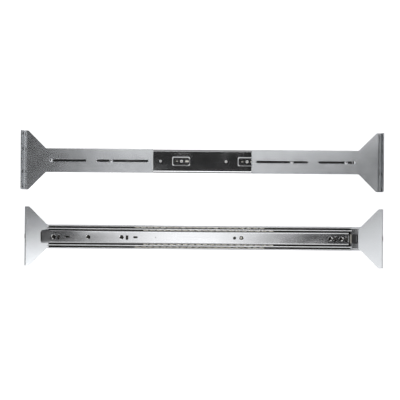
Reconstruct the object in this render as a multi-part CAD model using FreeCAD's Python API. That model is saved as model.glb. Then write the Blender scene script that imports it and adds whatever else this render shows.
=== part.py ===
"""A pair of sliding server rails: two full-extension ball-bearing slides with rack brackets.

Each slide has an outer, an intermediate and an inner member, with a row of balls between each
two of them. A bracket at each end is screwed to the back of the outer member through two long
slots, so that the rail fits racks of different depths.

Rail frame, in which each piece is made: +X towards the rear of the rack, +Y across the slide,
+Z from the back of the outer member (0) to the face that carries the server (SLIDE_DEPTH).
The pair lies flat: rail B has its inner member up and stands on its bracket flanges, and rail A
is the same rail turned over about its length.
"""

import FreeCAD, Part
import math
import os

Vector = FreeCAD.Vector

# ---- Driving dimensions, in millimetres ------------------------------------------------------

# Slide section
SLIDE_HEIGHT = 45.7
SLIDE_DEPTH = 12.7
OUTER_SHEET = 1.2
MIDDLE_SHEET = 1.0
INNER_SHEET = 1.2
CAGE_SHEET = 0.5
BALL_DIAMETER = 3.97
BALL_PLAY = 0.06          # between a ball and each raceway
BALL_HEIGHT = 8.2         # ball centres, from the back of the slide
OUTER_BACK_BEND = 2.6     # inside radius between the outer member's back and its sides
OUTER_LIP_BEND = 1.0
OUTER_LIP = 2.5           # from the slide's edge to the end of the outer member's lip
MIDDLE_BEND = 1.0
MIDDLE_LIP = 2.6
INNER_BEND = 1.6
INNER_LEG = 6.4           # from the inner member's face to the foot of its legs
CAGE_BEND = 0.3
CAGE_ABOVE_BALL = 0.65    # how far the ball cages stand above the balls
CAGE_TOOTH_GAP = 0.35     # from an inner cage tooth to the inner member's side
OUTER_CAGE_BACK = 3.0     # back of each strip, from the back of the slide
MIDDLE_BACK = 3.9
INNER_CAGE_BACK = 5.3

# Lengths and places along the slide, from the middle of the outer member
SLIDE_LENGTH = 596.0
MIDDLE_REAR_SETBACK = 15.4
INNER_FRONT_REACH = 13.6  # how far the inner member stands out at the front
INNER_REAR_SETBACK = 18.8
MIDDLE_OVERLAP = 301.0    # slide length less the intermediate member's travel
INNER_OVERLAP = 309.0     # slide length less the inner member's travel
STOP_PLAY = 0.6           # between a ball cage and its stops at full travel
STOP_OVER_CAGE = 0.5
STOP_WIDTH = 8.0
STOP_LENGTH = 2.4
STOP_LAND = 1.0           # web left whole round a stop that comes over an access hole

# Ball cages
BALL_PITCH = 12.6
BALLS_PER_SIDE = 19
CAGE_END = 10.6           # from the last ball to the end of the cage
INNER_CAGE_MIDDLE = 9.0
OUTER_CAGE_MIDDLE = -8.0
BALL_HOLE_PLAY = 0.12
CAGE_TOOTH = 3.0
CAGE_NOTCH_ABOVE = 0.7    # foot of the notches between teeth, above the ball centres

# Outer member's back
BRACKET_HOLE_COLLAR = 3.2     # outside radius of a tapped collar
COLLAR_HEIGHT = 1.4
PAD_PITCH = 127.0
PAD_FIRST = -57.9         # front edge of the first recessed pad
PAD_LENGTH = 34.7
PAD_HEIGHT = 17.5
PAD_DEPTH = 1.0
PAD_CORNER = 3.0
PAD_SLOPE = 1.6           # how far the pad's walls run in
PAD_HOLE_RADIUS = 1.6
PAD_SLIT_PLACE = 9.0      # places inside a pad, from its front edge
PAD_HOLE_PLACE = 18.1
PAD_SLOT_PLACE = 28.6
PAD_SLOT_LENGTH = 7.5
PAD_SLOT_WIDTH = 3.2
PAD_SLIT_LENGTH = 4.0
PAD_SLIT_WIDTH = 1.6
PILOT_BEFORE_PAD = 22.6
PILOT_RADIUS = 1.3
BACK_DISH = 1.1           # how far the coined dish round a hole in the back is wider than it
BACK_DISH_DEPTH = 0.5
TAB_SETBACK = 6.5         # from the rear end to the tab that holds the rear bumper
TAB_WIDTH = 12.0
TAB_TOP = 10.4
TAB_BEND = 0.6
TAB_ROOT = 2.5
TAB_RELIEF = 1.0

# Intermediate member
ACCESS_HOLE_RADIUS = 4.5
ACCESS_PLACES = (-230.0, -95.0, 40.0, 175.0)

# Inner member
CHASSIS_HOLE_RADIUS = 2.1
FRONT_CHASSIS_HOLES = (12.0, 78.0, 141.5)     # from the front end of the slide
MIDDLE_CHASSIS_HOLE = 72.0                    # from its middle
REAR_CHASSIS_HOLES = (57.0, 36.0)             # from its rear end
DISH_RADIUS = 4.2
DISH_DEPTH = 0.3
FRONT_LANCES = (21.5, 152.0)
REAR_LANCES = (47.0, 26.0)
LANCE_LENGTH = 10.7
LANCE_WIDTH = 4.8
TONGUE_WIDTH = 3.2
TONGUE_SHEET = 0.9
TONGUE_FLAT = 2.0
TONGUE_DROP = 2.4
FRONT_SERVER_SLOTS = (38.5, 168.0)
SERVER_SLOT_LENGTH = 8.8
SERVER_SLOT_WIDTH = 3.8
GAUGE_DOT_PLACE = -91.5
GAUGE_DOT_RADIUS = 0.9
DIMPLE_PLACE = 59.0
DIMPLE_RADIUS = 3.0
DIMPLE_DEPTH = 0.5
NOSE_BEND = 1.8
NOSE_WIDTH = 24.4
NOSE_CORNER = 4.5
NOSE_DROP = 7.0           # from the inner member's face to the foot of its turned-down nose
LEG_SETBACK = 4.8         # from the front end of the slide to the inner member's legs
TAIL_WIDTH = 12.0

# Bumpers
REAR_BUMPER_LENGTH = 11.8
REAR_BUMPER_WIDTH = 17.5
REAR_BUMPER_TOP = 11.0
REAR_BUMPER_INSET = 3.0   # from the outer member's rear end
REAR_BUMPER_CORNER = 2.5
TAB_PLAY = 0.1                # between the block and the tab that it is pushed onto
WINDOW_PAST_TAB = 1.0         # how far the block's window runs past each side of the tab
MIDDLE_BUMPER_LENGTH = 2.6
MIDDLE_BUMPER_WIDTH = 17.0
MIDDLE_BUMPER_TOP = 10.2
MIDDLE_BUMPER_CORNER = 0.9
BUMPER_FOOT_WIDTH = 8.5
BUMPER_FOOT_UNDER = 1.3       # how far the foot runs in under the block
BUMPER_FOOT_LENGTH = 5.0
BUMPER_FOOT_SHEET = 0.4
BUMPER_PEG_RADIUS = 1.5
PEG_PLAY = 0.05

# Rack brackets, measured along the bracket from the outer face of its flange
BRACKET_SHEET = 2.0
BRACKET_BEND = 1.5
BRACKET_LENGTH = 251.5
BRACKET_HEIGHT = 46.0
EAR_HEIGHT = 114.3
EAR_FLAT = 10.0           # length of the ear before its 45 degree flare
FLANGE_DEPTH = 20.0       # from the slide's back to the flange's free edge
EAR_CORNER = 2.5
NECK_CORNER = 2.0
SHORT_SLOT_START = 50.5
SHORT_SLOT_LENGTH = 71.2
SLOT_BRIDGE = 19.8        # metal between the two slots
LONG_SLOT_LENGTH = 100.5
SLOT_WIDTH = 5.0
RACK_HOLE_RADIUS = 3.55
RACK_HOLE_SETBACK = 9.0   # from the flange's free edge to its hole centres
RACK_UNIT = 44.45
RACK_HOLE_PITCH = 15.875

# Where the brackets are screwed: first screw from the slot's outer end, and how much further
# along its own slot the second screw sits
FRONT_SCREW_IN_SLOT = 0.5
REAR_SCREW_IN_SLOT = 15.5
FRONT_SCREW_LEAD = 25.7
REAR_SCREW_LEAD = 14.1
FRONT_SCREW_PLACE = 5.5   # from each end of the outer member to the nearest screw
REAR_SCREW_PLACE = 19.5
SCREW_RADIUS = 1.95
THREAD_PLAY = 0.05
HEAD_RADIUS = 3.6
HEAD_HEIGHT = 2.4
HEAD_ROUND = 1.9
SHANK_IN_HEAD = 0.6       # how far the shank runs up into the head
HEAD_GAP = 0.05           # under the head, so that the bracket can slide
DRIVE_LENGTH = 3.4
DRIVE_WIDTH = 0.8
DRIVE_DEPTH = 1.2

# The pair as it lies
RAIL_SPACING = 146.7
RAIL_STAGGER = 4.1        # rail B lies this much further to the rear

# ---- Worked out from the dimensions above -----------------------------------------------------

OVERSHOOT = 1.0           # how far a cutting tool runs past what it cuts
ALIKE = 0.01              # measures nearer than this are the same
HALF_HEIGHT = SLIDE_HEIGHT / 2
BALL_RADIUS = BALL_DIAMETER / 2
BALL_RACE = BALL_DIAMETER + 2 * BALL_PLAY
MIDDLE_HALF = HALF_HEIGHT - OUTER_SHEET - BALL_RACE
INNER_HALF = MIDDLE_HALF - MIDDLE_SHEET - BALL_RACE
OUTER_BALL_LINE = MIDDLE_HALF + BALL_PLAY + BALL_RADIUS
INNER_BALL_LINE = INNER_HALF + BALL_PLAY + BALL_RADIUS
CAGE_TOP = BALL_HEIGHT + BALL_RADIUS + CAGE_ABOVE_BALL
INNER_WEB = SLIDE_DEPTH - INNER_SHEET
MIDDLE_WEB = MIDDLE_BACK + MIDDLE_SHEET

FRONT_END = -SLIDE_LENGTH / 2
REAR_END = SLIDE_LENGTH / 2
MIDDLE_REAR = REAR_END - MIDDLE_REAR_SETBACK
INNER_FRONT = FRONT_END - INNER_FRONT_REACH
LEG_FRONT = FRONT_END + LEG_SETBACK
INNER_REAR = REAR_END - INNER_REAR_SETBACK
MIDDLE_TRAVEL = SLIDE_LENGTH - MIDDLE_OVERLAP
INNER_TRAVEL = SLIDE_LENGTH - INNER_OVERLAP
TAB_PLACE = REAR_END - TAB_SETBACK
TAB_CLEAR = OUTER_SHEET / 2 + TAB_BEND + TAB_PLAY
CAGE_LENGTH = (BALLS_PER_SIDE - 1) * BALL_PITCH + 2 * CAGE_END

LONG_SLOT_START = SHORT_SLOT_START + SHORT_SLOT_LENGTH + SLOT_BRIDGE
SLOT_STEP = LONG_SLOT_START - SHORT_SLOT_START
FRONT_SCREWS = (
    FRONT_END + FRONT_SCREW_PLACE,
    FRONT_END + FRONT_SCREW_PLACE + SLOT_STEP + FRONT_SCREW_LEAD,
)
REAR_SCREWS = (
    REAR_END - REAR_SCREW_PLACE,
    REAR_END - REAR_SCREW_PLACE - SLOT_STEP - REAR_SCREW_LEAD,
)
SCREW_FROM_SLOT_END = SHORT_SLOT_START + SLOT_WIDTH / 2
FRONT_FLANGE = FRONT_SCREWS[0] - SCREW_FROM_SLOT_END - FRONT_SCREW_IN_SLOT
REAR_FLANGE = REAR_SCREWS[0] + SCREW_FROM_SLOT_END + REAR_SCREW_IN_SLOT
RAIL_MIDDLE = (FRONT_FLANGE + REAR_FLANGE) / 2

CHASSIS_HOLES = [FRONT_END + place for place in FRONT_CHASSIS_HOLES]
CHASSIS_HOLES += [MIDDLE_CHASSIS_HOLE]
CHASSIS_HOLES += [REAR_END - place for place in REAR_CHASSIS_HOLES]
LANCES = [FRONT_END + place for place in FRONT_LANCES]
LANCES += [REAR_END - place for place in REAR_LANCES]
SERVER_SLOTS = [FRONT_END + place for place in FRONT_SERVER_SLOTS]

# Rack holes stand at the first and last hole of the rack units that the ear spans
NEAR_RACK_HOLE = RACK_UNIT / 2
FAR_RACK_HOLE = RACK_UNIT * 1.5 - RACK_HOLE_PITCH


# ---- Shape helpers ----------------------------------------------------------------------------

def box(low_x, high_x, low_y, high_y, low_z, high_z):
    """A box between two corners."""
    return Part.makeBox(
        high_x - low_x, high_y - low_y, high_z - low_z, Vector(low_x, low_y, low_z)
    )


def upright(radius, x, y, low_z, high_z):
    """A round bar along Z."""
    return Part.makeCylinder(radius, high_z - low_z, Vector(x, y, low_z), Vector(0, 0, 1))


def mirrored(half):
    """A line across the slide from its +Y half, which runs from the edge to the middle."""
    return half + [(-y, z) for y, z in reversed(half)]


def offset_line(points, distance):
    """An open line moved to its left by a distance, with mitred corners."""
    normals = []
    for (ay, az), (by, bz) in zip(points, points[1:]):
        length = math.hypot(by - ay, bz - az)
        normals.append((-(bz - az) / length, (by - ay) / length))
    before = [normals[0]] + normals
    after = normals + [normals[-1]]
    moved = []
    for (y, z), (py, pz), (qy, qz) in zip(points, before, after):
        scale = distance / (1 + py * qy + pz * qz)
        moved.append((y + (py + qy) * scale, z + (pz + qz) * scale))
    return moved


def turns_left(a, b, c):
    """Whether the line a, b, c turns left at b."""
    return (b[0] - a[0]) * (c[1] - b[1]) - (b[1] - a[1]) * (c[0] - b[0]) > 0


def rounded_edges(points, radii, place):
    """Edges along points, with an arc of its own radius at each corner between the ends."""
    edges = []
    start = place(*points[0])
    for before, corner, after, radius in zip(points, points[1:], points[2:], radii):
        here = place(*corner)
        back = (place(*before) - here).normalize()
        ahead = (place(*after) - here).normalize()
        half_angle = back.getAngle(ahead) / 2
        run = radius / math.tan(half_angle)
        inward = (back + ahead).normalize()
        centre = here + inward * (radius / math.sin(half_angle))
        edges.append(Part.LineSegment(start, here + back * run).toShape())
        arc = Part.Arc(here + back * run, centre - inward * radius, here + ahead * run)
        edges.append(arc.toShape())
        start = here + ahead * run
    edges.append(Part.LineSegment(start, place(*points[-1])).toShape())
    return edges


def sheet_face(line, sheet, bends, place):
    """The section of a bent sheet about its middle line, with inside bend radii."""
    left = offset_line(line, sheet / 2)
    right = offset_line(line, -sheet / 2)
    lefts = [turns_left(a, b, c) for a, b, c in zip(line, line[1:], line[2:])]
    left_radii = [bend if is_left else bend + sheet for bend, is_left in zip(bends, lefts)]
    right_radii = [bend + sheet if is_left else bend for bend, is_left in zip(bends, lefts)]
    edges = rounded_edges(left, left_radii, place)
    edges.append(Part.LineSegment(place(*left[-1]), place(*right[-1])).toShape())
    edges += rounded_edges(right[::-1], right_radii[::-1], place)
    edges.append(Part.LineSegment(place(*right[0]), place(*left[0])).toShape())
    return Part.Face(Part.Wire(Part.__sortEdges__(edges)))


def long_strip(half, sheet, bends, front, rear):
    """A bent strip along X: half of its middle line, and the bends from its edge inwards."""
    face = sheet_face(
        mirrored(half), sheet, bends + bends[::-1], lambda y, z: Vector(front, y, z)
    )
    return face.extrude(Vector(rear - front, 0, 0))


def cross_strip(line, sheet, bends, low_y, high_y):
    """A bent strip along Y: its middle line is in X and Z."""
    face = sheet_face(line, sheet, bends, lambda x, z: Vector(x, low_y, z))
    return face.extrude(Vector(0, high_y - low_y, 0))


def rounded_plate(points, radii, low_z, high_z):
    """A plate with straight sides in X and Y, and a round at each corner."""
    count = len(points)
    place = lambda x, y: Vector(x, y, low_z)
    starts = [
        ((points[i - 1][0] + points[i][0]) / 2, (points[i - 1][1] + points[i][1]) / 2)
        for i in range(count)
    ]
    edges = []
    for i in range(count):
        side = [starts[i], points[i], starts[(i + 1) % count]]
        edges += rounded_edges(side, [radii[i]], place)
    wire = Part.Wire(Part.__sortEdges__(edges))
    return Part.Face(wire).extrude(Vector(0, 0, high_z - low_z))


def obround(x, y, length, width, low_z, high_z, along_x=True):
    """A round-ended slot about a point, end to end length and full width."""
    half = (length - width) / 2
    dx, dy = (half, 0) if along_x else (0, half)
    middle = (
        box(x - half, x + half, y - width / 2, y + width / 2, low_z, high_z)
        if along_x
        else box(x - width / 2, x + width / 2, y - half, y + half, low_z, high_z)
    )
    ends = [upright(width / 2, x + s * dx, y + s * dy, low_z, high_z) for s in (-1, 1)]
    return middle.fuse(ends).removeSplitter()


def round_rectangle(front, rear, half_width, corner, z):
    """A rectangular wire with round corners in a plane of constant Z."""
    points = [(front, -half_width), (rear, -half_width), (rear, half_width), (front, half_width)]
    plate = rounded_plate(points, [corner] * 4, z, z + OVERSHOOT)
    return min(plate.Faces, key=lambda face: face.CenterOfMass.z).OuterWire


# ---- Slide ------------------------------------------------------------------------------------

def pad_starts():
    """Front edges of the recessed pads in the outer member's back."""
    return (PAD_FIRST, PAD_FIRST + PAD_PITCH)


def pad_body(front, grow, low_z, high_z):
    """A shallow tray with sloping walls: the pad's recess, or with grow the metal round it."""
    rear = front + PAD_LENGTH
    half = PAD_HEIGHT / 2
    slope = PAD_SLOPE
    mouth = round_rectangle(front - grow, rear + grow, half + grow, PAD_CORNER + grow, low_z)
    floor = round_rectangle(
        front - grow + slope, rear + grow - slope, half + grow - slope, PAD_CORNER + grow, high_z
    )
    return Part.makeLoft([mouth, floor], True, True)


def back_dish(radius, x, depth):
    """A coined dish round a hole in the outer member's back, this deep inside it."""
    place = Vector(x, 0, depth)
    return Part.makeCone(radius + BACK_DISH, radius, BACK_DISH_DEPTH, place)


def rear_tab():
    """The end of the outer member's back, bent up to hold the rear bumper."""
    middle = OUTER_SHEET / 2
    line = [(TAB_PLACE - TAB_ROOT, middle), (TAB_PLACE, middle), (TAB_PLACE, TAB_TOP)]
    half = TAB_WIDTH / 2
    return cross_strip(line, OUTER_SHEET, [TAB_BEND], -half, half)


def outer_member():
    """The cabinet member: a channel whose lips close over the outer balls."""
    middle = OUTER_SHEET / 2
    edge = HALF_HEIGHT - middle
    half = [
        (HALF_HEIGHT - OUTER_LIP, SLIDE_DEPTH - middle),
        (edge, SLIDE_DEPTH - middle),
        (edge, middle),
    ]
    body = long_strip(half, OUTER_SHEET, [OUTER_LIP_BEND, OUTER_BACK_BEND], FRONT_END, REAR_END)
    inside = OUTER_SHEET
    added = []
    removed = []
    for front in pad_starts():
        added.append(pad_body(front, OUTER_SHEET / 2, inside, inside + PAD_DEPTH))
        removed.append(pad_body(front, 0, 0, PAD_DEPTH))
        through = (-OVERSHOOT, inside + PAD_DEPTH + OVERSHOOT)
        removed.append(upright(PAD_HOLE_RADIUS, front + PAD_HOLE_PLACE, 0, *through))
        removed.append(back_dish(PAD_HOLE_RADIUS, front + PAD_HOLE_PLACE, PAD_DEPTH))
        removed.append(
            obround(front + PAD_SLOT_PLACE, 0, PAD_SLOT_LENGTH, PAD_SLOT_WIDTH, *through)
        )
        removed.append(
            obround(front + PAD_SLIT_PLACE, 0, PAD_SLIT_LENGTH, PAD_SLIT_WIDTH, *through)
        )
        removed.append(upright(PILOT_RADIUS, front - PILOT_BEFORE_PAD, 0, *through))
        removed.append(back_dish(PILOT_RADIUS, front - PILOT_BEFORE_PAD, 0))
    for x in FRONT_SCREWS + REAR_SCREWS:
        added.append(upright(BRACKET_HOLE_COLLAR, x, 0, inside / 2, inside + COLLAR_HEIGHT))
        removed.append(
            upright(
                SCREW_RADIUS + THREAD_PLAY, x, 0, -OVERSHOOT, inside + COLLAR_HEIGHT + OVERSHOOT
            )
        )
    added.append(outer_front_stop())
    removed.append(
        upright(BUMPER_PEG_RADIUS + PEG_PLAY, rear_bumper_peg(), 0, -OVERSHOOT, inside + OVERSHOOT)
    )
    notch = TAB_WIDTH / 2 + TAB_RELIEF
    notch_front = TAB_PLACE - TAB_ROOT
    removed.append(
        box(notch_front, REAR_END + OVERSHOOT, -notch, notch, -OVERSHOOT, inside + OVERSHOOT)
    )
    return body.fuse(added).cut(removed).fuse(rear_tab()).removeSplitter()


def outer_front_stop():
    """A raised stop in the outer member that the outer cage meets at full travel."""
    cage_front = OUTER_CAGE_MIDDLE - CAGE_LENGTH / 2 - MIDDLE_TRAVEL / 2
    rear = cage_front - STOP_PLAY
    top = OUTER_CAGE_BACK + CAGE_SHEET
    half = STOP_WIDTH / 2
    return box(rear - STOP_LENGTH, rear, -half, half, OUTER_SHEET / 2, top)


def intermediate_member():
    """The middle channel, which runs on the outer balls and carries the inner ones."""
    middle = MIDDLE_SHEET / 2
    edge = MIDDLE_HALF - middle
    half = [
        (MIDDLE_HALF - MIDDLE_LIP, SLIDE_DEPTH - middle),
        (edge, SLIDE_DEPTH - middle),
        (edge, MIDDLE_BACK + middle),
    ]
    body = long_strip(half, MIDDLE_SHEET, [MIDDLE_BEND, MIDDLE_BEND], FRONT_END, MIDDLE_REAR)
    through = (MIDDLE_BACK - OVERSHOOT, MIDDLE_WEB + OVERSHOOT)
    removed = [upright(ACCESS_HOLE_RADIUS, x, 0, *through) for x in ACCESS_PLACES]
    removed.append(upright(BUMPER_PEG_RADIUS + PEG_PLAY, middle_bumper_peg(), 0, *through))
    cage_front = INNER_CAGE_MIDDLE - CAGE_LENGTH / 2 - INNER_TRAVEL / 2
    front_stop = cage_front - STOP_PLAY
    cage_rear = OUTER_CAGE_MIDDLE + CAGE_LENGTH / 2 + MIDDLE_TRAVEL / 2
    rear_stop = cage_rear + STOP_PLAY
    half_width = STOP_WIDTH / 2
    land = ACCESS_HOLE_RADIUS + STOP_LAND
    stop_top = INNER_CAGE_BACK + CAGE_SHEET + STOP_OVER_CAGE
    added = [
        box(
            front_stop - STOP_LENGTH, front_stop, -half_width, half_width,
            MIDDLE_BACK + middle, stop_top,
        ),
        box(
            rear_stop, rear_stop + STOP_LENGTH, -half_width, half_width,
            OUTER_CAGE_BACK, MIDDLE_BACK + middle,
        ),
    ]
    for stop_front in (front_stop - STOP_LENGTH, rear_stop):
        whole_from = stop_front - STOP_LAND
        whole_to = stop_front + STOP_LENGTH + STOP_LAND
        added.append(box(whole_from, whole_to, -land, land, MIDDLE_BACK, MIDDLE_WEB))
    return body.cut(removed).fuse(added).removeSplitter()


def lance_tongue(x):
    """A tongue left in a lanced opening: fast at the +Y end and sloping down into the channel."""
    sheet_middle = SLIDE_DEPTH - TONGUE_SHEET / 2
    top = LANCE_LENGTH / 2 + TONGUE_SHEET
    flat_end = LANCE_LENGTH / 2 - TONGUE_FLAT
    tip = -LANCE_LENGTH / 2 + LANCE_WIDTH / 2
    line = [(top, sheet_middle), (flat_end, sheet_middle), (tip, sheet_middle - TONGUE_DROP)]
    low_x = x - TONGUE_WIDTH / 2
    face = sheet_face(line, TONGUE_SHEET, [TONGUE_SHEET], lambda y, z: Vector(low_x, y, z))
    return face.extrude(Vector(TONGUE_WIDTH, 0, 0))


def dish(x):
    """A shallow coined dish round a hole, wide at the inner member's face."""
    low = SLIDE_DEPTH - DISH_DEPTH
    return Part.makeCone(CHASSIS_HOLE_RADIUS, DISH_RADIUS, DISH_DEPTH, Vector(x, 0, low))


def nose():
    """The inner member's front end: flat before its legs, round at the corners, turned down."""
    middle = INNER_SHEET / 2
    top = SLIDE_DEPTH - middle
    foot = SLIDE_DEPTH - NOSE_DROP
    line = [(LEG_FRONT, top), (INNER_FRONT + middle, top), (INNER_FRONT + middle, foot)]
    half = NOSE_WIDTH / 2
    strip = cross_strip(line, INNER_SHEET, [NOSE_BEND], -half, half)
    rear = LEG_FRONT + 2 * NOSE_CORNER
    outline = [(INNER_FRONT, -half), (rear, -half), (rear, half), (INNER_FRONT, half)]
    blank = rounded_plate(outline, [NOSE_CORNER] * 4, foot - OVERSHOOT, SLIDE_DEPTH + OVERSHOOT)
    return strip.common(blank)


def tail():
    """The inner member's rear end, turned down to carry the inner cage to its stop."""
    middle = INNER_SHEET / 2
    top = SLIDE_DEPTH - middle
    foot = INNER_CAGE_BACK + CAGE_SHEET / 2
    run = INNER_REAR - 2 * (NOSE_BEND + INNER_SHEET)
    line = [(run, top), (INNER_REAR - middle, top), (INNER_REAR - middle, foot)]
    half = TAIL_WIDTH / 2
    return cross_strip(line, INNER_SHEET, [INNER_BEND], -half, half)


def inner_member():
    """The server member: a shallow channel with its holes, slots and lances."""
    middle = INNER_SHEET / 2
    edge = INNER_HALF - middle
    half = [(edge, SLIDE_DEPTH - INNER_LEG), (edge, SLIDE_DEPTH - middle)]
    rear = INNER_REAR - INNER_SHEET - INNER_BEND
    body = long_strip(half, INNER_SHEET, [INNER_BEND], LEG_FRONT, rear)
    body = body.fuse([nose(), tail()])
    through = (INNER_WEB - OVERSHOOT, SLIDE_DEPTH + OVERSHOOT)
    removed = []
    for x in CHASSIS_HOLES:
        removed.append(upright(CHASSIS_HOLE_RADIUS, x, 0, *through))
        removed.append(dish(x))
    for x in LANCES:
        removed.append(obround(x, 0, LANCE_LENGTH, LANCE_WIDTH, *through, along_x=False))
    for x in SERVER_SLOTS:
        removed.append(obround(x, 0, SERVER_SLOT_LENGTH, SERVER_SLOT_WIDTH, *through))
    removed.append(upright(GAUGE_DOT_RADIUS, GAUGE_DOT_PLACE, 0, *through))
    dimple_sphere = (DIMPLE_RADIUS ** 2 + DIMPLE_DEPTH ** 2) / (2 * DIMPLE_DEPTH)
    dimple_centre = Vector(DIMPLE_PLACE, 0, SLIDE_DEPTH - DIMPLE_DEPTH + dimple_sphere)
    removed.append(Part.makeSphere(dimple_sphere, dimple_centre))
    tongues = [lance_tongue(x) for x in LANCES]
    return body.cut(removed).fuse(tongues).removeSplitter()


# ---- Balls and their cages --------------------------------------------------------------------

def ball_places(cage_middle):
    """Ball centres along the slide."""
    first = cage_middle - (BALLS_PER_SIDE - 1) * BALL_PITCH / 2
    return [first + i * BALL_PITCH for i in range(BALLS_PER_SIDE)]


def balls(cage_middle, line):
    """Both rows of balls of one cage, as separate solids."""
    return Part.makeCompound([
        Part.makeSphere(BALL_RADIUS, Vector(x, side * line, BALL_HEIGHT))
        for x in ball_places(cage_middle)
        for side in (-1, 1)
    ])


def ball_holes(cage_middle, line):
    """Round holes through both legs of a cage."""
    reach = line + BALL_RADIUS
    return [
        Part.makeCylinder(
            BALL_RADIUS + BALL_HOLE_PLAY, 2 * reach, Vector(x, -reach, BALL_HEIGHT), Vector(0, 1, 0)
        )
        for x in ball_places(cage_middle)
    ]


def outer_cage():
    """The strip that spaces the outer balls."""
    half = [(OUTER_BALL_LINE, CAGE_TOP), (OUTER_BALL_LINE, OUTER_CAGE_BACK + CAGE_SHEET / 2)]
    front = OUTER_CAGE_MIDDLE - CAGE_LENGTH / 2
    strip = long_strip(half, CAGE_SHEET, [CAGE_BEND], front, front + CAGE_LENGTH)
    return strip.cut(ball_holes(OUTER_CAGE_MIDDLE, OUTER_BALL_LINE)).removeSplitter()


def inner_cage():
    """The strip that spaces the inner balls, with a row of teeth turned in over them."""
    top = CAGE_TOP - CAGE_SHEET / 2
    half = [
        (INNER_HALF + CAGE_TOOTH_GAP, top),
        (INNER_BALL_LINE, top),
        (INNER_BALL_LINE, INNER_CAGE_BACK + CAGE_SHEET / 2),
    ]
    front = INNER_CAGE_MIDDLE - CAGE_LENGTH / 2
    strip = long_strip(half, CAGE_SHEET, [CAGE_BEND, CAGE_BEND], front, front + CAGE_LENGTH)
    notch = (BALL_PITCH - CAGE_TOOTH) / 2
    reach = INNER_BALL_LINE + CAGE_SHEET
    notches = [
        box(
            x - notch, x + notch, -reach, reach,
            BALL_HEIGHT + CAGE_NOTCH_ABOVE, CAGE_TOP + OVERSHOOT,
        )
        for x in ball_places(INNER_CAGE_MIDDLE)
    ]
    removed = ball_holes(INNER_CAGE_MIDDLE, INNER_BALL_LINE) + notches
    return strip.cut(removed).removeSplitter()


# ---- Bumpers ----------------------------------------------------------------------------------

def rear_bumper_peg():
    """Place of the rear bumper's peg along the slide."""
    front = REAR_END - REAR_BUMPER_INSET - REAR_BUMPER_LENGTH
    return (front + TAB_PLACE - TAB_CLEAR) / 2


def middle_bumper_peg():
    """Place of the intermediate member's bumper peg along the slide."""
    return MIDDLE_REAR - MIDDLE_BUMPER_LENGTH - BUMPER_FOOT_LENGTH / 2


def rear_bumper():
    """Plastic block, pushed onto the outer member's tab, that the closing slide meets."""
    rear = REAR_END - REAR_BUMPER_INSET
    front = rear - REAR_BUMPER_LENGTH
    half = REAR_BUMPER_WIDTH / 2
    points = [(front, -half), (rear, -half), (rear, half), (front, half)]
    block = rounded_plate(points, [REAR_BUMPER_CORNER] * 4, OUTER_SHEET, REAR_BUMPER_TOP)
    window = obround(
        TAB_PLACE, 0, TAB_WIDTH + 2 * WINDOW_PAST_TAB, 2 * TAB_CLEAR,
        OUTER_SHEET - OVERSHOOT, REAR_BUMPER_TOP + OVERSHOOT, along_x=False,
    )
    peg = upright(BUMPER_PEG_RADIUS, rear_bumper_peg(), 0, 0, OUTER_SHEET + OVERSHOOT / 2)
    return block.cut(window).fuse(peg).removeSplitter()


def middle_bumper():
    """Plastic block in the intermediate member's rear end that the inner member meets."""
    rear = MIDDLE_REAR
    front = rear - MIDDLE_BUMPER_LENGTH
    half = MIDDLE_BUMPER_WIDTH / 2
    block = box(front, rear, -half, half, MIDDLE_WEB, MIDDLE_BUMPER_TOP)
    upright_edges = [edge for edge in block.Edges if edge.BoundBox.ZLength > OVERSHOOT]
    block = block.makeFillet(MIDDLE_BUMPER_CORNER, upright_edges)
    half_foot = BUMPER_FOOT_WIDTH / 2
    foot = box(
        front - BUMPER_FOOT_LENGTH, front + BUMPER_FOOT_UNDER, -half_foot, half_foot,
        MIDDLE_WEB, MIDDLE_WEB + BUMPER_FOOT_SHEET,
    )
    peg = upright(
        BUMPER_PEG_RADIUS, middle_bumper_peg(), 0, MIDDLE_BACK, MIDDLE_WEB + BUMPER_FOOT_SHEET / 2
    )
    return block.fuse([foot, peg]).removeSplitter()


# ---- Rack brackets and their screws -----------------------------------------------------------

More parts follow.
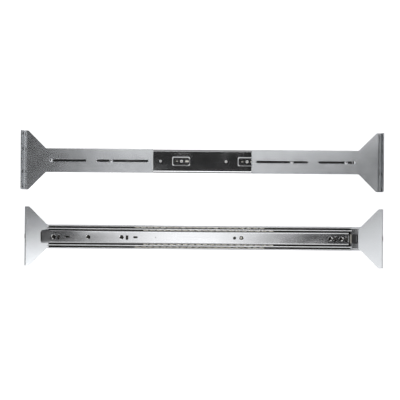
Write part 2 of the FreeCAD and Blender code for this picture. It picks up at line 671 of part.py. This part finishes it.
def bracket():
    """A bent bracket along +X from its flange: ear, 45 degree flare, neck with two slots."""
    middle = BRACKET_SHEET / 2
    half_ear = EAR_HEIGHT / 2
    half_neck = BRACKET_HEIGHT / 2
    flare_end = EAR_FLAT + half_ear - half_neck
    line = [(BRACKET_LENGTH, -middle), (middle, -middle), (middle, -FLANGE_DEPTH)]
    sheet = cross_strip(line, BRACKET_SHEET, [BRACKET_BEND], -half_ear, half_ear)
    outline = [
        (-OVERSHOOT, -half_ear), (EAR_FLAT, -half_ear), (flare_end, -half_neck),
        (BRACKET_LENGTH, -half_neck), (BRACKET_LENGTH, half_neck), (flare_end, half_neck),
        (EAR_FLAT, half_ear), (-OVERSHOOT, half_ear),
    ]
    radii = [
        OVERSHOOT, EAR_CORNER, NECK_CORNER, NECK_CORNER,
        NECK_CORNER, NECK_CORNER, EAR_CORNER, OVERSHOOT,
    ]
    blank = rounded_plate(outline, radii, -FLANGE_DEPTH - OVERSHOOT, OVERSHOOT)
    shape = sheet.common(blank)
    short_middle = SHORT_SLOT_START + SHORT_SLOT_LENGTH / 2
    long_middle = LONG_SLOT_START + LONG_SLOT_LENGTH / 2
    through = (-BRACKET_SHEET - OVERSHOOT, OVERSHOOT)
    hole_z = -FLANGE_DEPTH + RACK_HOLE_SETBACK
    removed = [
        obround(short_middle, 0, SHORT_SLOT_LENGTH, SLOT_WIDTH, *through),
        obround(long_middle, 0, LONG_SLOT_LENGTH, SLOT_WIDTH, *through),
    ]
    for place in (NEAR_RACK_HOLE, FAR_RACK_HOLE):
        for side in (-1, 1):
            removed.append(
                Part.makeCylinder(
                    RACK_HOLE_RADIUS, BRACKET_SHEET + 2 * OVERSHOOT,
                    Vector(-OVERSHOOT, side * place, hole_z), Vector(1, 0, 0),
                )
            )
    shape = shape.cut(removed).removeSplitter()
    corners = [
        edge for edge in shape.Edges
        if abs(edge.BoundBox.XLength - BRACKET_SHEET) < ALIKE
        and edge.BoundBox.YLength < ALIKE
        and abs(edge.BoundBox.ZMin + FLANGE_DEPTH) < ALIKE
        and edge.BoundBox.ZLength < ALIKE
    ]
    return shape.makeFillet(EAR_CORNER, corners)


def front_bracket():
    """The bracket at the pull end."""
    shape = bracket()
    shape.translate(Vector(FRONT_FLANGE, 0, 0))
    return shape


def rear_bracket():
    """The same bracket turned half a turn, at the rear end."""
    shape = bracket()
    shape.rotate(Vector(0, 0, 0), Vector(0, 0, 1), 180)
    shape.translate(Vector(REAR_FLANGE, 0, 0))
    return shape


def bracket_screw(x):
    """A pan-head screw from the bracket into its tapped collar."""
    seat = -BRACKET_SHEET - HEAD_GAP
    top = seat - HEAD_HEIGHT
    head = upright(HEAD_RADIUS, x, 0, top, seat)
    rim = [edge for edge in head.Edges if edge.BoundBox.ZMax < top + ALIKE]
    head = head.makeFillet(HEAD_ROUND, rim)
    shank = upright(SCREW_RADIUS, x, 0, seat - SHANK_IN_HEAD, OUTER_SHEET + COLLAR_HEIGHT)
    long_half = DRIVE_LENGTH / 2
    thin_half = DRIVE_WIDTH / 2
    depth = (top - OVERSHOOT, top + DRIVE_DEPTH)
    drive = [
        box(x - long_half, x + long_half, -thin_half, thin_half, *depth),
        box(x - thin_half, x + thin_half, -long_half, long_half, *depth),
    ]
    return head.fuse(shank).cut(drive).removeSplitter()


def screw_pair(places):
    """The two screws of one bracket."""
    return Part.makeCompound([bracket_screw(x) for x in places])


# ---- The pair ---------------------------------------------------------------------------------

def one_rail():
    """Every piece of one rail, by name, in the rail frame."""
    return {
        "outer_member": outer_member(),
        "intermediate_member": intermediate_member(),
        "inner_member": inner_member(),
        "outer_ball_cage": outer_cage(),
        "inner_ball_cage": inner_cage(),
        "outer_balls": balls(OUTER_CAGE_MIDDLE, OUTER_BALL_LINE),
        "inner_balls": balls(INNER_CAGE_MIDDLE, INNER_BALL_LINE),
        "rear_bumper": rear_bumper(),
        "intermediate_bumper": middle_bumper(),
        "front_bracket": front_bracket(),
        "rear_bracket": rear_bracket(),
        "front_bracket_screws": screw_pair(FRONT_SCREWS),
        "rear_bracket_screws": screw_pair(REAR_SCREWS),
    }


def laid_down(shape, face_down):
    """A piece of rail A (face down) or rail B (face up) where the pair lies."""
    placed = shape.copy()
    placed.translate(Vector(-RAIL_MIDDLE, 0, 0))
    if face_down:
        placed.rotate(Vector(0, 0, 0), Vector(1, 0, 0), 180)
        placed.translate(Vector(-RAIL_STAGGER / 2, RAIL_SPACING / 2, SLIDE_DEPTH))
    else:
        placed.translate(Vector(RAIL_STAGGER / 2, -RAIL_SPACING / 2, FLANGE_DEPTH))
    return placed


def main():
    """Writes one STEP file for each piece of each rail."""
    os.makedirs("parts", exist_ok=True)
    pieces = one_rail()
    for rail, face_down in (("rail_a", True), ("rail_b", False)):
        for name, shape in pieces.items():
            laid_down(shape, face_down).exportStep(f"parts/{rail}_{name}.step")


main()
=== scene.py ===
"""Looks of the sliding server rail pair: camera, studio and finishes."""
import math

import bpy
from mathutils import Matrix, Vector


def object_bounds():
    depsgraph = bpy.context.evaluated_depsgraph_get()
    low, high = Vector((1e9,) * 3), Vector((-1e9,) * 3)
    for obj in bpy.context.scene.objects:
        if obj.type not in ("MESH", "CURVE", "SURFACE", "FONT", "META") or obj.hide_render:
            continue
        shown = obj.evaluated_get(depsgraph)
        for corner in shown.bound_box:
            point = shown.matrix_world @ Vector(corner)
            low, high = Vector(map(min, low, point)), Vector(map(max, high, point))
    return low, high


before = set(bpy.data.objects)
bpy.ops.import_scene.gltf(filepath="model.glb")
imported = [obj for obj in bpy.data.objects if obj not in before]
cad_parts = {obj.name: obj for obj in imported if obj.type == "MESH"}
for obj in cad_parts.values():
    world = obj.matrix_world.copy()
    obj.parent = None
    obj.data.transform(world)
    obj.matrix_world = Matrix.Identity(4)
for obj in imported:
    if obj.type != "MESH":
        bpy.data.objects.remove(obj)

CAD_LOW, CAD_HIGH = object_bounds()
MM = 0.001
WHITE = (1, 1, 1, 1)

# ---- Camera -----------------------------------------------------------------------------------

CAMERA_HEIGHT = 1267 * MM
CAMERA_ASIDE = (-5.95 * MM, -1.35 * MM)     # from the middle of the pair
CAMERA_ROLL = math.radians(0.47)
SENSOR = 36.0
LENS = 58.28


def camera():
    """Looks straight down on the pair from above its middle."""
    data = bpy.data.cameras.new("camera")
    data.sensor_width = SENSOR
    data.lens = LENS
    view = bpy.data.objects.new("camera", data)
    middle = (CAD_LOW + CAD_HIGH) / 2
    view.location = (middle.x + CAMERA_ASIDE[0], middle.y + CAMERA_ASIDE[1], CAMERA_HEIGHT)
    view.rotation_euler = (0, 0, CAMERA_ROLL)
    bpy.context.scene.collection.objects.link(view)
    bpy.context.scene.camera = view


# ---- Shader nodes -----------------------------------------------------------------------------

class Nodes:
    """Short ways to add and join shader nodes in one tree."""

    def __init__(self, tree):
        self.tree = tree

    def add(self, kind, inputs=None, **settings):
        """A new node with these settings, and these values or links on its inputs."""
        node = self.tree.nodes.new("ShaderNode" + kind)
        for name, value in settings.items():
            setattr(node, name, value)
        for name, value in (inputs or {}).items():
            self.put(node.inputs[name], value)
        return node

    def put(self, socket, value):
        """A value, or another node's output, on an input."""
        if isinstance(value, bpy.types.NodeSocket):
            self.tree.links.new(value, socket)
        elif isinstance(value, bpy.types.Node):
            self.tree.links.new(value.outputs[0], socket)
        else:
            socket.default_value = value

    def math(self, operation, a, b=0.0):
        """The result of one operation on two values."""
        return self.add("Math", {0: a, 1: b}, operation=operation).outputs[0]

    def ramp(self, value, low, high, to_low=0.0, to_high=1.0):
        """Value from low to high as to_low to to_high, eased at both ends and held outside."""
        node = self.add(
            "MapRange",
            {"Value": value, "From Min": low, "From Max": high,
             "To Min": to_low, "To Max": to_high},
            interpolation_type="SMOOTHSTEP",
        )
        return node.outputs["Result"]

    def within(self, value, low, high, soft):
        """1 where the value lies between low and high, with soft edges."""
        return self.math("MULTIPLY", self.ramp(value, low - soft, low + soft),
                         self.ramp(value, high + soft, high - soft))

    def mix(self, factor, a, b):
        """Colour a where factor is 0 and b where it is 1."""
        node = self.add("Mix", data_type="RGBA")
        factor_input, a_input, b_input = (node.inputs[i] for i in (0, 6, 7))
        self.put(factor_input, factor)
        self.put(a_input, a)
        self.put(b_input, b)
        return node.outputs[2]


# ---- Studio -----------------------------------------------------------------------------------

# The room's light depends on its direction alone. X, Y and Z are those of a unit vector into the
# room. A pair of such values is where a part of the light starts and where it is full.
CEILING = 0.02
CEILING_FROM = 0.02           # least Z for which a place on the ceiling is worked out
WALLS = 0.5
WALLS_Z = (0.7, 0.35)
FLOOR_LINE_Z = (-0.02, 0.0)   # the walls end here
LEFT_WALL_SHARE = 0.25        # of the right wall's light
LEFT_TO_RIGHT_X = (-0.6, 0.0)
BACK_WALL_SHARE = 0.5         # of the front wall's light
BACK_TO_FRONT_Y = (0.5, -0.1)
RING = 0.6                    # a band of light all round, between walls and ceiling
RING_FOOT_Z = (0.38, 0.5)
RING_TOP_Z = (0.84, 0.72)

# Soft boxes in the ceiling. Edges left, right, front and back, each a place and a softness, and
# a strength. A place is X or Y over Z, so the middle of the ceiling is 0.
SOFT_BOXES = (
    ((-0.135, 0.11), (0.10, 0.11), (-0.2, 0.02), (-0.03, 0.012), 1.04),
    ((-0.185, 0.025), (0.16, 0.08), (-0.05, 0.01), (0.025, 0.01), 1.04),
    ((-0.40, 0.06), (0.1, 0.1), (-0.18, 0.04), (-0.078, 0.012), 2.1),
    ((-0.10, 0.06), (0.23, 0.04), (-0.25, 0.06), (-0.088, 0.015), 3.3),
    ((0.255, 0.015), (0.55, 0.06), (-0.25, 0.06), (-0.005, 0.015), 1.05),
    ((-0.185, 0.025), (0.27, 0.09), (0.11, 0.015), (0.26, 0.05), 2.4),
    ((-0.9, 0.1), (0.9, 0.1), (-1.5, 0.2), (-0.2, 0.05), 0.5),
)

FLOOR_SIDE = 9.0
FLOOR_GAP = 0.2 * MM          # under the pair
FLOOR_COLOUR = (0.85, 0.85, 0.85, 1)
FLOOR_GLOW = 0.75             # added for the camera and in reflections


def soft_box(n, u, v, left, right, front, back, strength):
    """A soft-edged rectangle of light in the ceiling."""
    light = strength
    for value, (edge, soft), rising in (
        (u, left, 1), (u, right, -1), (v, front, 1), (v, back, -1),
    ):
        inside = n.ramp(value, edge - rising * soft, edge + rising * soft)
        light = n.math("MULTIPLY", inside, light)
    return light


def studio():
    """White behind the object, while its reflections see walls, a ring and soft boxes."""
    world = bpy.data.worlds.new("studio")
    bpy.context.scene.world = world
    world.use_nodes = True
    tree = world.node_tree
    tree.nodes.clear()
    n = Nodes(tree)
    direction = n.add("TexCoord").outputs["Generated"]
    x, y, z = n.add("SeparateXYZ", {0: direction}).outputs

    light = n.ramp(z, *WALLS_Z, CEILING, WALLS)
    light = n.math("MULTIPLY", light, n.ramp(x, *LEFT_TO_RIGHT_X, LEFT_WALL_SHARE, 1.0))
    light = n.math("MULTIPLY", light, n.ramp(y, *BACK_TO_FRONT_Y, BACK_WALL_SHARE, 1.0))
    light = n.math("MULTIPLY", light, n.ramp(z, *FLOOR_LINE_Z))
    ring = n.math("MULTIPLY", n.ramp(z, *RING_FOOT_Z), n.ramp(z, *RING_TOP_Z))
    light = n.math("MAXIMUM", light, n.math("MULTIPLY", ring, RING))
    up = n.math("MAXIMUM", z, CEILING_FROM)
    u = n.math("DIVIDE", x, up)
    v = n.math("DIVIDE", y, up)
    for box in SOFT_BOXES:
        light = n.math("MAXIMUM", light, soft_box(n, u, v, *box))

    camera_ray = n.add("LightPath").outputs["Is Camera Ray"]
    background = n.add("Background", {"Color": n.mix(camera_ray, light, WHITE), "Strength": 1.0})
    n.put(n.add("OutputWorld").inputs["Surface"], background)


def floor():
    """A wide pale floor under the pair, which keeps a faint shadow."""
    bpy.ops.mesh.primitive_plane_add(size=FLOOR_SIDE, location=(0, 0, CAD_LOW.z - FLOOR_GAP))
    plane = bpy.context.object
    plane.name = "floor"
    material = bpy.data.materials.new("floor")
    material.use_nodes = True
    tree = material.node_tree
    tree.nodes.clear()
    n = Nodes(tree)
    diffuse = n.add("BsdfDiffuse", {"Color": FLOOR_COLOUR})
    glow = n.add("Emission", {"Color": WHITE, "Strength": FLOOR_GLOW})
    none = n.add("Emission", {"Strength": 0.0})
    path = n.add("LightPath")
    seen = n.math("MAXIMUM", path.outputs["Is Camera Ray"], path.outputs["Is Glossy Ray"])
    lift = n.add("MixShader", {0: seen, 1: none.outputs[0], 2: glow.outputs[0]})
    both = n.add("AddShader", {0: diffuse.outputs[0], 1: lift.outputs[0]})
    n.put(n.add("OutputMaterial").inputs["Surface"], both)
    plane.data.materials.append(material)


# ---- The rails --------------------------------------------------------------------------------

class Rail:
    """Where a rail's own frame lies in the row: X along, Y across, Z from back to face."""

    def __init__(self, name, shift, centre, back, face):
        self.name = name
        self.shift = shift
        self.centre = centre
        self.back = back
        self.face = face      # 1 with the server's side up, -1 with it down

    def read(self, n, place):
        """Shader values: place along, distance aside from the middle, depth from the back."""
        x, y, z = n.add("SeparateXYZ", {0: place}).outputs
        along = n.math("SUBTRACT", x, self.shift)
        aside = n.math("ABSOLUTE", n.math("SUBTRACT", y, self.centre))
        depth = n.math("MULTIPLY", n.math("SUBTRACT", z, self.back), self.face)
        return along, aside, depth


RAILS = (
    Rail("rail_a", -2.55 * MM, 73.35 * MM, 12.7 * MM, -1),
    Rail("rail_b", 1.55 * MM, -73.35 * MM, 20 * MM, 1),
)


# ---- Finishes ---------------------------------------------------------------------------------

ZINC_BRIGHT = (0.90, 0.91, 0.93, 1)
ZINC_DULL = (0.82, 0.83, 0.86, 1)
# Grease colours, which also serve as painted shade in the members' channels, legs and hole walls
GREASE_AND_SHADE_THIN = (0.10, 0.097, 0.09, 1)
GREASE_AND_SHADE_THICK = (0.05, 0.048, 0.044, 1)
SATIN_LIGHT = (0.79, 0.81, 0.835, 1)
SATIN_DARK = (0.76, 0.78, 0.805, 1)
# Painted shade on the walls of the bracket's slots and its flange's holes
HOLE_WALL_SHADE = (0.09, 0.088, 0.085, 1)
CAGE_CLEAN = (0.60, 0.59, 0.55, 1)
CAGE_GREASY = (0.42, 0.40, 0.35, 1)
BALL_CLEAN = (0.86, 0.86, 0.86, 1)
BALL_FILM = (0.66, 0.64, 0.58, 1)
BLACK_WORN = (0.03, 0.03, 0.032, 1)
BLACK_NEW = (0.012, 0.012, 0.013, 1)
NATURAL_LIGHT = (0.62, 0.60, 0.55, 1)
NATURAL_DARK = (0.50, 0.48, 0.43, 1)

# Noise runs from 0 to 1, and most of it lies near the middle. These are the values between which
# a finish goes from its one look to its other.
EVENLY = (0.3, 0.7)
IN_STREAKS = (0.35, 0.75)
IN_SPOTS = (0.35, 0.7)
IN_PATCHES = (0.4, 0.7)
NOISE_DETAIL = 3.0
GRAIN_DETAIL = 2.0

# Sizes of the noise's cells: along and across for drawn or rolled lines, else all round.
DRAWN_LINES = (120 * MM, 0.9 * MM)
ROLLED_LINES = (60 * MM, 0.6 * MM)
ZINC_SMUDGE = 35 * MM
SATIN_MOTTLE = 18 * MM
CAGE_GREASE = 12 * MM
BALL_GREASE = 4 * MM
PLASTIC_WEAR = 6 * MM
PLASTIC_GRAIN = 0.5 * MM

ZINC_ROUGHNESS = (0.04, 0.06)
SMUDGE_ROUGHER = 0.02
SATIN_ROUGHNESS = (0.165, 0.18)
CAGE_ROUGHNESS = (0.32, 0.2)
BALL_ROUGHNESS = (0.04, 0.14)
PLASTIC_ROUGHNESS = (0.38, 0.55)

# Height of the relief, and radius that the edges seem to have.
ZINC_SURFACE = (0.0006 * MM, 0.15 * MM)
SATIN_SURFACE = (0.0003 * MM, 0.4 * MM)
PLASTIC_SURFACE = (0.03 * MM, 0.3 * MM)
EDGE_SAMPLES = 6

# Where grease and painted shade darken a member: least and most depth from the slide's back, and
# least and most
# # distance aside from its middle, in millimetres. The boxes lie in the channels, on the legs and
# up the walls of holes, where shade falls.
OUTER_GREASE_AND_SHADE = (0.6, 12.3, 9.5, 22.3)       # beside the pads, which stay clean
CHANNEL_GREASE_AND_SHADE = (0.6, 12.3, -1, 22.3)
INNER_LEGS_GREASE_AND_SHADE = (-1, 10, -1, 22)
INNER_HOLES_GREASE_AND_SHADE = (-1, 12.66, -1, 9)     # up the walls of holes, to just under the face
GREASE_AND_SHADE_SOFT_DEPTH = 0.02 * MM
GREASE_AND_SHADE_SOFT_ASIDE = 0.1 * MM
GREASE_AND_SHADE_END = 281 * MM         # the rear ends of the members are dry and get no painted shade
GREASE_AND_SHADE_FADE = 3 * MM

LIPS_ASIDE = 13.5 * MM        # the outer two members' lips are satin from here out
LIPS_DEPTH = 12.4 * MM
LIPS_FADE_ASIDE = 0.5 * MM
LIPS_FADE_DEPTH = 0.1 * MM
LIPS_ROUGHER = 0.26

SLOT_WALL_DEPTH = (-1.85 * MM, -0.15 * MM)  # within the bracket's sheet
SLOT_WALL_ASIDE = (4.5 * MM, 4.3 * MM)
SLOT_WALL_SOFT = 0.1 * MM
FLANGE_HOLES = (22.225 * MM, 50.8 * MM)
FLANGE_HOLE_DEPTH = -11 * MM
FLANGE_HOLE_REACH = (3.65 * MM, 3.6 * MM)


def new_finish(name, metallic):
    """A new material with its node helper, its shader and its place on the piece in metres."""
    material = bpy.data.materials.new(name)
    material.use_nodes = True
    n = Nodes(material.node_tree)
    shader = material.node_tree.nodes["Principled BSDF"]
    shader.inputs["Metallic"].default_value = metallic
    place = n.add("TexCoord").outputs["Object"]
    return material, n, shader, place


def lines(n, place, along, across):
    """Noise drawn out along X, with cells of these sizes in metres."""
    scale = n.add("Mapping", {"Vector": place, "Scale": (1 / along, 1 / across, 1 / across)})
    noise = n.add("TexNoise", {"Vector": scale.outputs[0], "Scale": 1.0, "Detail": NOISE_DETAIL})
    return noise.outputs["Fac"]


def cloud(n, place, size, detail=NOISE_DETAIL):
    """Even noise with cells of one size in metres."""
    noise = n.add("TexNoise", {"Vector": place, "Scale": 1 / size, "Detail": detail})
    return noise.outputs["Fac"]


def surface(n, shader, height, distance, edge):
    """Fine relief, and edges that catch the light as if rounded by this much."""
    rounded = n.add("Bevel", {"Radius": edge}, samples=EDGE_SAMPLES)
    relief = n.add("Bump", {"Height": height, "Distance": distance, "Normal": rounded})
    n.put(shader.inputs["Normal"], relief.outputs[0])


def grease_and_shade(n, along, aside, depth, boxes):
    """1 where grease and painted shade darken, inside any of the boxes and short of the rear ends.
    """
    darkening = 0.0
    for low, high, near, far in boxes:
        deep = n.within(depth, low * MM, high * MM, GREASE_AND_SHADE_SOFT_DEPTH)
        wide = n.within(aside, near * MM, far * MM, GREASE_AND_SHADE_SOFT_ASIDE)
        darkening = n.math("MAXIMUM", darkening, n.math("MULTIPLY", deep, wide))
    return n.math("MULTIPLY", darkening, n.ramp(along, GREASE_AND_SHADE_END + GREASE_AND_SHADE_FADE, GREASE_AND_SHADE_END))


def zinc_finish(name, rail, *grease_and_shade_boxes):
    """Bright zinc on drawn steel, darkened by grease and painted shade in the channels and holes,
    with satin lips.
    """
    material, n, shader, place = new_finish(name, 1.0)
    along, aside, depth = rail.read(n, place)
    drawn = lines(n, place, *DRAWN_LINES)
    smudge = cloud(n, place, ZINC_SMUDGE)
    clean = n.mix(n.ramp(drawn, *IN_STREAKS), ZINC_BRIGHT, ZINC_DULL)
    # painted shade and grease: this dark colour fills the boxes where shade falls in the channels
    # and holes
    grease_and_shade_colour = n.mix(smudge, GREASE_AND_SHADE_THIN, GREASE_AND_SHADE_THICK)
    darkening = grease_and_shade(n, along, aside, depth, grease_and_shade_boxes)
    n.put(shader.inputs["Base Color"], n.mix(darkening, clean, grease_and_shade_colour))
    lips = n.math("MULTIPLY", n.ramp(aside, LIPS_ASIDE, LIPS_ASIDE + LIPS_FADE_ASIDE),
                  n.ramp(depth, LIPS_DEPTH, LIPS_DEPTH + LIPS_FADE_DEPTH))
    worn = n.math("ADD", n.ramp(drawn, *EVENLY, *ZINC_ROUGHNESS),
                  n.ramp(smudge, *IN_PATCHES, 0, SMUDGE_ROUGHER))
    roughness = n.math("ADD", worn, n.math("MULTIPLY", lips, LIPS_ROUGHER))
    n.put(shader.inputs["Roughness"], roughness)
    surface(n, shader, drawn, *ZINC_SURFACE)
    return material


def painted_hole_shade(n, aside, depth):
    """1 on the walls of the bracket's slots and of its flange's holes, where the shade is painted.
    """
    shaded_walls = n.math("MULTIPLY", n.within(depth, *SLOT_WALL_DEPTH, SLOT_WALL_SOFT),
                   n.ramp(aside, *SLOT_WALL_ASIDE))
    for hole in FLANGE_HOLES:
        beside = n.math("SUBTRACT", aside, hole)
        below = n.math("SUBTRACT", depth, FLANGE_HOLE_DEPTH)
        reach = n.math("SQRT", n.math("ADD", n.math("MULTIPLY", beside, beside),
                                      n.math("MULTIPLY", below, below)))
        shaded_walls = n.math("MAXIMUM", shaded_walls, n.ramp(reach, *FLANGE_HOLE_REACH))
    return shaded_walls


def bracket_finish(name, rail):
    """Satin zinc on rolled sheet, with painted shade on the walls of punched slots and holes."""
    material, n, shader, place = new_finish(name, 1.0)
    _, aside, depth = rail.read(n, place)
    rolled = lines(n, place, *ROLLED_LINES)
    mottle = cloud(n, place, SATIN_MOTTLE)
    satin = n.mix(n.ramp(rolled, *EVENLY), SATIN_LIGHT, SATIN_DARK)
    # painted shade: the slot and hole walls take the dark shade colour
    n.put(shader.inputs["Base Color"], n.mix(painted_hole_shade(n, aside, depth), satin, HOLE_WALL_SHADE))
    n.put(shader.inputs["Roughness"], n.ramp(mottle, *EVENLY, *SATIN_ROUGHNESS))
    surface(n, shader, rolled, *SATIN_SURFACE)
    return material


def cage_finish():
    """Dull mill-finish strip with traces of grease."""
    material, n, shader, place = new_finish("cage_steel", 1.0)
    darkening = cloud(n, place, CAGE_GREASE)
    n.put(shader.inputs["Base Color"], n.mix(n.ramp(darkening, *IN_SPOTS), CAGE_CLEAN, CAGE_GREASY))
    n.put(shader.inputs["Roughness"], n.ramp(darkening, *EVENLY, *CAGE_ROUGHNESS))
    return material


def ball_finish():
    """Polished bearing steel with a thin film of grease."""
    material, n, shader, place = new_finish("ball_steel", 1.0)
    film = cloud(n, place, BALL_GREASE)
    n.put(shader.inputs["Base Color"], n.mix(n.ramp(film, *IN_PATCHES), BALL_CLEAN, BALL_FILM))
    n.put(shader.inputs["Roughness"], n.ramp(film, *EVENLY, *BALL_ROUGHNESS))
    return material


def plastic_finish(name, light, dark):
    """Moulded plastic with a fine spark texture, between two colours by wear."""
    material, n, shader, place = new_finish(name, 0.0)
    grain = cloud(n, place, PLASTIC_GRAIN, GRAIN_DETAIL)
    wear = cloud(n, place, PLASTIC_WEAR)
    n.put(shader.inputs["Base Color"], n.mix(n.ramp(wear, *IN_PATCHES), dark, light))
    n.put(shader.inputs["Roughness"], n.ramp(wear, *EVENLY, *PLASTIC_ROUGHNESS))
    surface(n, shader, grain, *PLASTIC_SURFACE)
    return material


def dress():
    """Every piece of both rails in its finish."""
    cage = cage_finish()
    ball = ball_finish()
    black = plastic_finish("black_plastic", BLACK_WORN, BLACK_NEW)
    natural = plastic_finish("natural_plastic", NATURAL_LIGHT, NATURAL_DARK)
    for rail in RAILS:
        name = rail.name
        bracket = bracket_finish(name + "_bracket_steel", rail)
        screw = zinc_finish(name + "_screw_steel", rail, CHANNEL_GREASE_AND_SHADE)
        finishes = {
            "outer_member": zinc_finish(name + "_outer_member", rail, OUTER_GREASE_AND_SHADE),
            "intermediate_member": zinc_finish(name + "_intermediate_member", rail, CHANNEL_GREASE_AND_SHADE),
            "inner_member": zinc_finish(
                name + "_inner_member", rail, INNER_LEGS_GREASE_AND_SHADE, INNER_HOLES_GREASE_AND_SHADE
            ),
            "outer_ball_cage": cage, "inner_ball_cage": cage,
            "outer_balls": ball, "inner_balls": ball,
            "rear_bumper": black, "intermediate_bumper": natural,
            "front_bracket": bracket, "rear_bracket": bracket,
            "front_bracket_screws": screw, "rear_bracket_screws": screw,
        }
        for piece, finish in finishes.items():
            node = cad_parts[f"{name}_{piece}"]
            node.data.materials.clear()
            node.data.materials.append(finish)


bpy.context.scene.view_settings.view_transform = "Standard"
camera()
studio()
floor()
dress()
